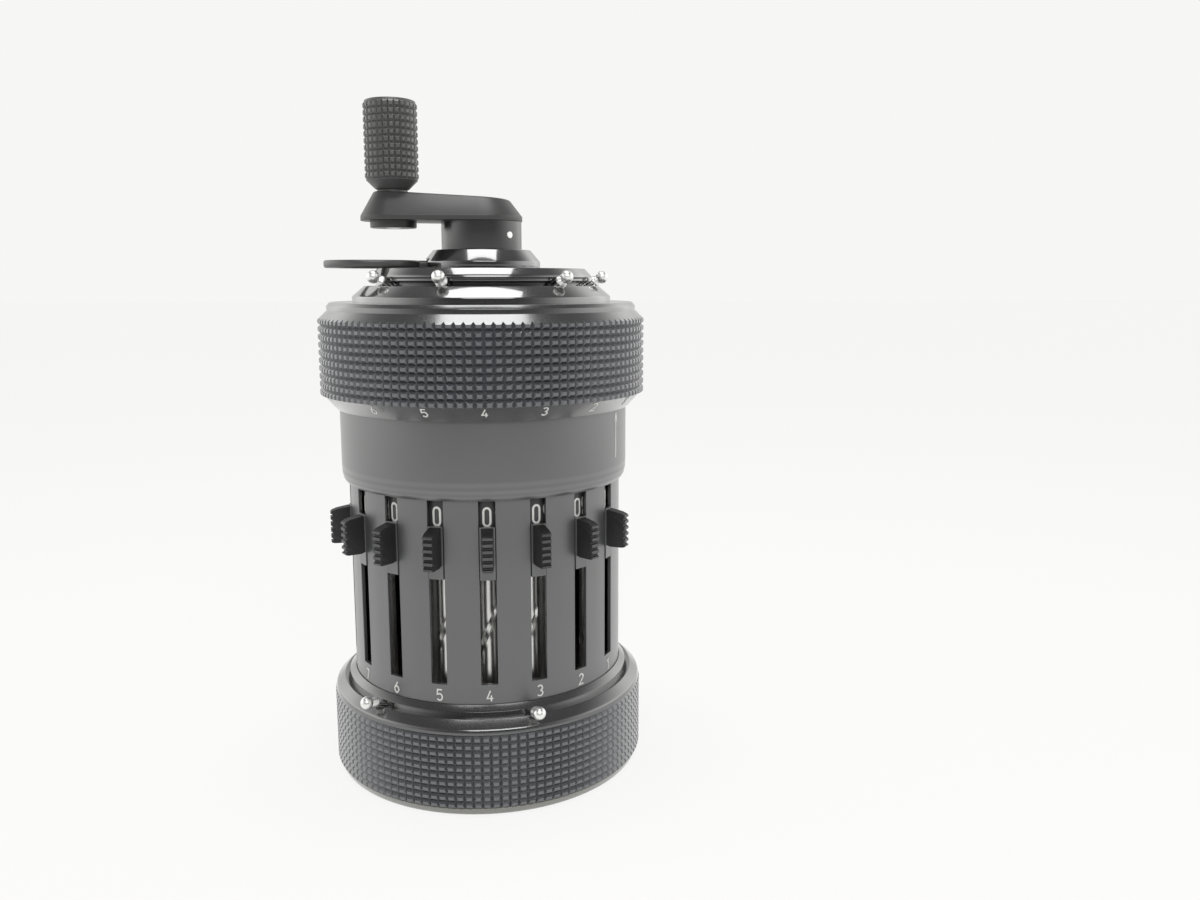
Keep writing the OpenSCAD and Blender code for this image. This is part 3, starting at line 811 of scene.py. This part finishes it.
deck_top = collar_low + 6.5
lip_top = deck_top + 1
lip_inner = sleeve_inner - 1.5
collar_chain = [
    (sleeve_bore, collar_low, 0.12),
    (collar_radius - 0.7, collar_low, 0.1),
    (collar_radius - 0.28, collar_low + 0.55, 0.3),
    (collar_radius - 0.06, collar_low + 1.4, 0.4),
    (collar_radius, collar_low + 2.5, 0.5),
    (collar_radius, collar_top, 0.2),
    (sleeve_bore, collar_top, 0.1),
    (sleeve_bore, lip_top, 0),
    (lip_inner, lip_top, 0),
    (lip_inner, deck_top, 0),
    (sleeve_bore, deck_top, 0),
]
piece("collar_turned", "housing", [(turned(eased(collar_chain), 120), satin_coat)],
      ["upper_collar"])
arrow_angle = 61
arrow_level = collar_low + 7.9
arrow_half = 3.6
barb_width = 0.5
barb_length = 1.5
arrow = joined(
    ribbon([(0, arrow_half * i / 2) for i in range(-2, 3)], 0.22, 0.05),
    ribbon([(-barb_width, arrow_half - barb_length), (0, arrow_half)], 0.2, 0.05),
    ribbon([(barb_width, arrow_half - barb_length), (0, arrow_half)], 0.2, 0.05),
)
piece("collar_arrow", "housing",
      [(placed(arrow, on_drum(arrow_angle, collar_radius, arrow_level)), white_fill)])

# Reversing lever: a small ridged slide at the back of the sleeve, on a plate behind the wall.
# Die cast, with the same matt black coat as the sliders.

lever_low = back_span[0] + 0.5
lever_top = lever_low + 3
lever_face = sleeve_radius + 2.1
ridge_pitch = 0.85
lever_knob = [(sleeve_radius + 0.4, lever_low - 0.4), (lever_face, lever_low - 0.4)]
for n in range(4):
    ridge = lever_low + 0.05 + ridge_pitch * n
    lever_knob += [(lever_face + 0.4, ridge), (lever_face + 0.1, ridge + 0.45)]
lever_knob[-1] = (lever_face, lever_top + 0.4)
lever_knob.append((sleeve_radius + 0.4, lever_top + 0.4))
lever_shell = joined(
    upright(lever_knob, 3),
    square_bar(sleeve_inner - 0.5, sleeve_radius + 0.5, lever_low, lever_top, 1.9),
    square_bar(sleeve_inner - 1.2, sleeve_inner - 0.3, lever_low - 2, lever_top + 2, 4.4),
)
reverser = piece("reversing_slide", "reversing_lever", [
    (placed(lever_shell, at(180)), matt_coat),
], ["reversing_lever"], 30)
soften(reverser, 0.08)

# Lower decimal markers: small turned steel balls on a flared foot, each with a stem that slides in
# the groove of the base cone. Plated, with a soft shine.

ball_radius = 1.0
stem_radius = 0.4
stem_end = -0.9


def marker(collar, neck, foot):
    """A marker standing on Z = 0, with its stem below: flared foot, neck and ball in one turning."""
    centre = collar + neck + ball_radius
    waist = -50
    profile = eased([(0, stem_end, 0), (stem_radius, stem_end, 0.05), (stem_radius, collar, 0),
                     (foot, collar, 0.06), (foot - 0.05, collar + 0.25, 0.08), (0.58, centre - 0.78, 0.05)])
    profile += [(*p, 0.0) for p in arc(0, centre, ball_radius, ball_radius, waist, 90, 12)]
    return turned(profile, 28, closed=False)


marker_steel = metal("plated_steel", (0.97, 0.97, 0.95), (0.78, 0.77, 0.74), 0.34)
lower_ball = marker(0.85, 0.8, 0.9)
for k, angle in enumerate((-45.5, 16), 1):
    piece(f"lower_marker_ball_{k}", f"lower_marker_{k}", [
        (placed(lower_ball, at(angle, *lower_seat, lower_tilt)), marker_steel),
    ], [f"lower_marker_{k}"], 50)

# Carriage ring: the upper grip, turned from aluminium bar with the same square knurl. It carries the
# cover and the dials, and lifts and turns as one with them. White numbers are engraved on its bevel.

ring_radius, ring_low, ring_top = round_size("carriage_ring")
ring_inner = collar_radius + 0.35
ring_rows = 8
ring_depth = 0.42
ring_band = (ring_low + 3.3, ring_top - 3.55)
ring_flat = (0.5, 0.4)
ring_runs = ((0.95, 0.1), (0.83, ring_depth))
ring_foot = (ring_band[0] - ring_runs[0][0], ring_band[0] - sum(ring_runs[0]))
ring_head = (ring_band[1] + ring_runs[1][0], ring_band[1] + sum(ring_runs[1]))
wall_inner = 16.5
seat_inner = wall_inner + 0.2
seat_level = ring_top - 1.7
bevel_foot = Vector((ring_inner + 0.15, ring_low))
bevel_head = Vector((ring_radius - ring_depth, ring_foot[1]))
bevel_share = 0.64
ring_chain = [
    (ring_radius - ring_depth, ring_head[1], 0),
    (ring_radius - 1.42, ring_top - 1.32, 0),
    (ring_radius - 1.44, ring_top - 0.6, 0.06),
    (ring_radius - 1.95, ring_top, 0.12),
    (seat_inner, ring_top, 0),
    (seat_inner, seat_level, 0),
    (ring_inner, seat_level, 0),
    (ring_inner, ring_low, 0.1),
    (*bevel_foot, 0.05),
    (*bevel_head, 0),
]


def on_bevel(angle):
    """A place on the ring's bevel, where x runs round the bevel and y up its slope."""
    middle = bevel_foot.lerp(bevel_head, bevel_share)
    slope = (bevel_head - bevel_foot).normalized()

    def place(x, y, z):
        spot = middle + slope * y + Vector((slope.y, -slope.x)) * z
        return swung(math.radians(angle) + x / middle.x, *spot)

    return place


piece("carriage_ring_turned", "carriage", [
    (joined(turned(eased(ring_chain), knurl_columns, closed=False),
            run_out(ring_radius, ring_depth, ring_foot, knurl_columns, ring_flat[0]),
            run_out(ring_radius, ring_depth, ring_head, knurl_columns, ring_flat[0])), smooth_coat),
    (knurled(ring_radius, ring_depth, ring_band, knurl_columns, ring_rows, ring_flat, ring_runs), knurl_coat),
], ["carriage_ring"])
piece("carriage_numbers", "carriage", [
    (digits({n: on_bevel((4 - n) * slot_pitch) for n in range(1, 7)}, height=1.8, stroke=label_stroke),
     white_fill),
])

# Carriage cover: a turned aluminium cap with seventeen windows over the number dials and a groove for
# the upper markers. Polished glossy black; the steps of its rim throw bright lines.

cover_low, cover_top = round_size("carriage_cover")[1:]
upper_seat = Vector((18.0, ring_top + 2.95))
upper_tilt = 60
hub_inner = 8.55
hub_outer = 10.8
cover_edge = 21.0
cover_rim = 17.05
cover_under = cover_top - 0.6
gloss_coat = coat("gloss_black_coat", (0.020, 0.020, 0.021), (0.035, 0.035, 0.036), 0.20, 0.03,
                  {"Specular IOR Level": 0.9, "Coat Weight": 1.0, "Coat IOR": 2.0, "Coat Roughness": 0.06})
cover_slope = Vector((-0.45, 0.75)).normalized()
cover_chain = [
    (hub_inner, cover_low, 0),
    (hub_outer, cover_low, 0),
    (hub_outer, cover_under, 0),
    (wall_inner, cover_under, 0),
    (wall_inner, ring_top, 0),
    (cover_edge, ring_top, 0),
    (cover_edge, ring_top + 0.9, 0.15),
    (cover_edge - 2, ring_top + 2.6, 0.2),
    *groove(upper_seat, upper_tilt, cover_slope),
    (cover_rim + 0.7, cover_top - 1.6, 0.05),
    (cover_rim + 0.9, cover_top - 1.4, 0.1),
    (cover_rim + 0.75, cover_top - 1.05, 0.1),
    (cover_rim - 0.2, cover_top, 0.12),
    (hub_inner, cover_top, 0),
]
dial_angles = {f"result_dial_{k}": (4 - k) * slot_pitch for k in range(1, 12)}
dial_angles.update({f"counter_dial_{k}": (10 - k) * slot_pitch for k in range(1, 7)})
window_foot = {"level": cover_top - 1.2, "half": 1.1, "near": 12.9, "far": 15.5}
window_head = {"level": cover_top + 0.4, "half": 1.232, "near": 12.78, "far": 15.62}


def milled(made, cutter_shell):
    """Cuts a shell out of a piece, and keeps the cut mesh."""
    cutter_mesh = bpy.data.meshes.new("cutter")
    cutter_mesh.from_pydata([Vector(p) * MM for p in cutter_shell[0]], [], cutter_shell[1])
    weld(cutter_mesh)
    cutter = stood("cutter", cutter_mesh)
    cut = made.modifiers.new("cut", "BOOLEAN")
    cut.operation = "DIFFERENCE"
    cut.solver = "EXACT"
    cut.object = cutter
    solid = made.evaluated_get(bpy.context.evaluated_depsgraph_get())
    kept = bpy.data.meshes.new_from_object(solid)
    made.modifiers.remove(cut)
    made.data = kept
    shade(kept, plain_crease)
    bpy.data.objects.remove(cutter)


def window_cut():
    """The milled opening over a dial at the front, a little wider at the top."""
    points = []
    for rim in (window_foot, window_head):
        for x, y in ((-1, "far"), (1, "far"), (1, "near"), (-1, "near")):
            points.append((x * rim["half"], -rim[y], rim["level"]))
    return stacked(points, 4)


cover = piece("cover_windowed", "carriage", [(turned(eased(cover_chain), 120), gloss_coat)],
              ["carriage_cover"])
milled(cover, joined(*[placed(window_cut(), at(angle)) for angle in dial_angles.values()]))

# Number dials: seventeen small drums under the windows, eleven for the result and six for the
# counter, each with a steel axle and an alloy pinion. Black, with white digits round them.

dial_level = ring_top + 1.8
dial_radius = 2.0
dial_circle = 14.2
dial_span = (dial_circle - 1.6, dial_circle + 1.6)
axle_radius = 0.6
axle_span = (9.7, 17.0)
spacer_span = (12.0, 12.7)
pinion_span = (11.1, 12.1)
dial_drum = plain_bar(dial_radius, *dial_span, 0.1, 40)
dial_digits = digits({d: on_drum(180 - digit_step * d, dial_radius, dial_circle, -1) for d in range(10)},
                     height=2.1, stroke=0.2, lift=0.03)
dial_axle = joined(plain_bar(axle_radius, *axle_span, 0.08, 16), plain_bar(1.0, *spacer_span, 0.05, 24))
dial_pinion = toothed(1.7, 1.2, 10, *pinion_span)
for name, angle in dial_angles.items():
    home = at(angle, 0, dial_level, 90)
    piece(f"{name}_drum", name, [
        (placed(dial_drum, home), drum_coat),
        (placed(dial_digits, home), white_fill),
        (placed(dial_axle, home), bright_steel),
        (placed(dial_pinion, home), light_alloy),
    ], [name])

# Upper decimal markers: the same plated steel balls as below, on a shorter and wider foot. Their stems
# slide in the groove of the cover.

upper_ball = marker(0.5, 0.5, 1.0)
for k, angle in enumerate((-57, -19, 40, 77), 1):
    piece(f"upper_marker_ball_{k}", f"upper_marker_{k}", [
        (placed(upper_ball, at(angle, *upper_seat, upper_tilt)), marker_steel),
    ], [f"upper_marker_{k}"], 50)

# Clearing disc and lever: a turned glossy black disc round the crank post, with a flat finger loop
# stamped from sheet that folds out from under it. One sweep of the loop sets the dials to nought.

disc_radius, disc_floor, disc_top = round_size("clearing_disc")
disc_low = cover_top + 0.05
disc_neck = hub_inner - 0.05
spring_bore = 6.9
pivot_reach = 8.7
pivot_radius = 0.6
lever_span = (cover_top + 0.1, cover_top + 1.3)
room_radius = 14
disc_chain = [
    (spring_bore, disc_floor, 0),
    (disc_neck, disc_floor, 0),
    (disc_neck, disc_low, 0),
    (disc_radius, disc_low, 0.12),
    (disc_radius, disc_top - 1.9, 0.15),
    (disc_radius - 1.6, disc_top, 0.2),
    (spring_bore, disc_top, 0.12),
]
disc = piece("clearing_disc_turned", "clearing_disc",
             [(turned(eased(disc_chain), 96), gloss_coat)], ["clearing_disc"])
lever_room = [(0, 0)] + arc(0, 0, room_radius, room_radius, 205, 95, 4)
milled(disc, prism(lever_room, disc_low - 0.3, disc_low + 1.55))
pivot = plain_bar(pivot_radius, lever_span[0] - 0.04, disc_low + 1.6, 0.08, 24)
piece("clearing_pivot", "clearing_disc", [
    (placed(pivot, lambda x, y, z: (x - pivot_reach, y, z)), bright_steel),
])


def stamped(name, loops, span, edge):
    """A plate stamped from sheet: the first loop is its outline, the rest are holes. Edges are rounded."""
    curve = bpy.data.curves.new(name, "CURVE")
    curve.dimensions = "2D"
    curve.fill_mode = "BOTH"
    curve.extrude = ((span[1] - span[0]) / 2 - edge) * MM
    curve.bevel_depth = edge * MM
    curve.bevel_resolution = 2
    curve.offset = -edge * MM
    for loop in loops:
        line = curve.splines.new("POLY")
        line.points.add(len(loop) - 1)
        line.use_cyclic_u = True
        for point, (x, y) in zip(line.points, loop):
            point.co = (x * MM, y * MM, 0, 1)
    drawn = bpy.data.objects.new(name, curve)
    mesh = bpy.data.meshes.new_from_object(drawn)
    bpy.data.objects.remove(drawn)
    middle = (span[0] + span[1]) / 2
    points = [(v.co.x / MM, v.co.y / MM, v.co.z / MM + middle) for v in mesh.vertices]
    return points, [tuple(face.vertices) for face in mesh.polygons], [0.0] * len(points)


loop_radius = 7.7
loop_hole = 5.9
loop_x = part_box("clearing_lever")[0].x / MM + loop_radius
eye_radius = 1.25
eye_hole = pivot_radius + 0.05
neck_bend = math.degrees(math.asin(eye_radius / loop_radius))
lever_loops = [
    arc(loop_x, 0, loop_radius, loop_radius, neck_bend, 360 - neck_bend, 71)
    + arc(-pivot_reach, 0, eye_radius, eye_radius, -90, 90, 15),
    arc(loop_x, 0, loop_hole, loop_hole, 0, 354, 59),
    arc(-pivot_reach, 0, eye_hole, eye_hole, 0, 345, 23),
]
loop_coat = coat("loop_black_coat", (0.060, 0.060, 0.060), (0.100, 0.100, 0.098), 0.36, 0.1,
                 {"Specular IOR Level": 0.9})
piece("clearing_loop", "clearing_lever",
      [(stamped("clearing_loop", lever_loops, lever_span, 0.3), loop_coat)], ["clearing_lever"], 50)

# Crank: the round post and the bevelled arm are one casting on the main shaft, held by a steel cross
# pin. A boss under the far end takes the knob's axle. Satin black coat, smoother on the post.

post_radius = 6.5
post_bore = 3.05
post_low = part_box("crank_arm")[0].z / MM
arm_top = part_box("crank_arm")[1].z / MM
post_top = arm_top - 4.55
arm_root = post_radius + 0.15
arm_tip = 5.2
arm_inset = (2.1, 2.3)
arm_slope = 0.8
knob_near, knob_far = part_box("crank_knob")
crank_reach = -(knob_near.x + knob_far.x) / 2 / MM
crank_end = at(-90, crank_reach)
axle_bore = 1.25
boss_low = post_top - 1.1
boss_radius = 3.7
seat_radius = 2.4
overlap = 0.3
arm_coat = coat("crank_black_coat", (0.044, 0.043, 0.043), (0.075, 0.074, 0.073), 0.42, 0.2,
                {"Specular IOR Level": 0.75})
post_coat = coat("post_black_coat", (0.020, 0.020, 0.021), (0.040, 0.040, 0.041), 0.24, 0.04,
                 {"Specular IOR Level": 0.7, "Coat Weight": 0.3, "Coat IOR": 1.8, "Coat Roughness": 0.16})


def arm_outline(root, tip):
    """Outline round two circles, one at the post and one at the knob, with straight flanks."""
    flank = math.degrees(math.asin((root - tip) / crank_reach))
    outline = arc(0, 0, root, root, -90 - flank, 90 + flank, 23)
    return outline + arc(-crank_reach, 0, tip, tip, 90 + flank, 270 - flank, 23)


def arm_shell():
    """The arm as outlines stacked up its height: an upright band, then a long bevel to a narrow top."""
    steps = eased([(1.0, post_top, 0.0), (0.0, post_top, 0.06), (0.0, post_top + 0.75, 0.12),
                   (1.0, arm_top, 0.35), (1.4, arm_top, 0.0)])[1:-1]
    points, wear = [], []
    for share, level, worn in steps:
        outline = arm_outline(arm_root - arm_inset[0] * share, arm_tip - arm_inset[1] * share)
        fall = arm_slope * min(share, 1) / crank_reach
        points += [(x, y, level - fall * (x + crank_reach)) for x, y in outline]
        wear += [worn] * len(outline)
    return stacked(points, len(points) // len(steps), wear)


boss = tube(axle_bore, boss_radius, boss_low, post_top + overlap, (0.2, 0), 64)
seat = tube(axle_bore, seat_radius, arm_top - overlap, arm_top + 0.28, (0, 0.05), 48)
post = tube(post_bore, post_radius, post_low, post_top + overlap, (0.15, 0), 96)
piece("crank_casting", "crank", [
    (joined(arm_shell(), placed(boss, crank_end), placed(seat, crank_end)), arm_coat),
    (post, post_coat),
], ["crank_arm"], 30)
pin_reach = post_radius + 0.1
cross_pin = plain_bar(0.6, -pin_reach, pin_reach, 0.15, 24)
piece("crank_cross_pin", "crank", [
    (placed(cross_pin, at(43, 0, post_top - 2.3, 90)), bright_steel),
], ["crank_pin"])

# Knob: a turned aluminium grip that spins on the axle, with a tapered neck and rows of small pyramids
# round it. Matt black coat, worn a little on the tips.

knob_low = knob_near.z / MM
knob_top = knob_far.z / MM
knob_radius = (knob_far.x - knob_near.x) / 2 / MM
knob_band = (knob_low + 1.6, knob_top - 0.4)
knob_columns = 28
knob_rows = 11
knob_depth = 0.24
knob_flat = (0.5, 0.45)
bore_top = knob_top - 3
knob_coat = coat("knob_black_coat", (0.064, 0.065, 0.064), (0.094, 0.095, 0.093), 0.42, 0.2,
                 {"Specular IOR Level": 0.9})
knob_chain = [
    (knob_radius - knob_depth, knob_band[1], 0),
    (knob_radius - 0.25, knob_top - 0.15, 0.08),
    (knob_radius - 0.65, knob_top, 0.12),
    (0, knob_top, 0),
    (0, bore_top, 0),
    (axle_bore, bore_top, 0),
    (axle_bore, knob_low, 0.05),
    (2.6, knob_low, 0.15),
    (knob_radius - 0.1, knob_band[0] - 0.1, 0.1),
    (knob_radius - knob_depth, knob_band[0], 0),
]
knob_body = turned(eased(knob_chain), knob_columns, closed=False)
knob_grip = knurled(knob_radius, knob_depth, knob_band, knob_columns, knob_rows, knob_flat)
piece("knob_knurled", "knob", [
    (placed(joined(knob_body, knob_grip), crank_end), knob_coat),
], ["crank_knob"], 30)

# Studio: a plain white table that runs out of sight, soft light from above and in front, and a white
# room that is darker overhead and behind the camera.

scene = bpy.context.scene
scene.view_settings.view_transform = "Standard"
table_half = 4
table_mesh = bpy.data.meshes.new("table")
table_mesh.from_pydata([(x * table_half, y * table_half, 0) for x, y in ((-1, -1), (1, -1), (1, 1), (-1, 1))],
                       [], [(0, 1, 2, 3)])
table = stood("table", table_mesh)
table_white, table_field, _ = new_finish("table_white", {"Base Color": (0.86, 0.86, 0.85, 1),
                                                         "Roughness": 0.9})
table_mesh.materials.append(table_white)
seen = table_field.make("ShaderNodeLightPath", output="Is Camera Ray")
for ray in ("Is Glossy Ray", "Is Transmission Ray"):
    seen = seen + table_field.make("ShaderNodeLightPath", output=ray)
glow = table_field.make("ShaderNodeEmission", None, {"Color": (1.0, 1.0, 0.99, 1)})
plain = Field(table_white.node_tree, table_white.node_tree.nodes["Principled BSDF"].outputs[0])
mixed = table_field.make("ShaderNodeMixShader", None, {0: 0.85 * seen, 1: plain, 2: glow})
mixed.into(table_white.node_tree.nodes["Material Output"].inputs["Surface"])

room = bpy.data.worlds.new("studio_room")
room.use_nodes = True
scene.world = room
room_field = Field(room.node_tree)


def faded(value, start, end, first, last):
    """Goes softly from the first brightness to the last one while a value goes from start to end."""
    return room_field.make("ShaderNodeMapRange", {"interpolation_type": "SMOOTHSTEP"}, {
        "Value": value, "From Min": start, "From Max": end, "To Min": first, "To Max": last})


way = room_field.make("ShaderNodeTexCoord", output="Generated")
behind = room_field.make("ShaderNodeSeparateXYZ", None, {0: way}, "Y")
above = room_field.make("ShaderNodeSeparateXYZ", None, {0: way}, "Z")
wall = faded(behind, -0.95, 0.12, 0.05, 1.0)
ceiling = faded(above, 0.35, 0.8, 1.0, 0.12)
far_wall = faded(behind, 0.6, 0.97, 1.0, 0.4)
lit_room = blended(room_field, wall * ceiling * far_wall, (0, 0, 0, 1), (1.75, 1.75, 1.73, 1))
seen_room = room_field.make("ShaderNodeLightPath", output="Is Camera Ray")
backdrop = blended(room_field, seen_room, lit_room, (0.925, 0.925, 0.915, 1))
backdrop.into(room.node_tree.nodes["Background"].inputs["Color"])


def softbox(name, place, aim, size, energy):
    """A white cloth lamp that hangs at a place and points at another."""
    light = bpy.data.lights.new(name, "AREA")
    light.shape = "RECTANGLE"
    light.size, light.size_y = size
    light.energy = energy
    lamp = stood(name, light)
    lamp.location = place
    lamp.rotation_euler = (Vector(aim) - Vector(place)).to_track_quat("-Z", "Y").to_euler()


softbox("front_softbox", (0.03, -0.34, 0.32), (0, 0, 0.06), (0.30, 0.20), 0.8)
softbox("top_softbox", (0, 0, 0.5), (0, 0, 0.08), (0.26, 0.17), 0.75)

# Camera: level with the carriage, a hand's length in front, looking a little down and to the right.
# A wide lens, as the strong perspective of the rings shows.

look_down = 9.39
look_right = 6.48
lens = bpy.data.cameras.new("camera")
lens.sensor_width = 36
lens.lens = 30.62
lens.clip_start = 0.005
camera = stood("camera", lens)
camera.location = (0, -0.1712, 0.0806)
camera.rotation_euler = (math.radians(90 - look_down), 0, math.radians(-look_right))
scene.camera = camera
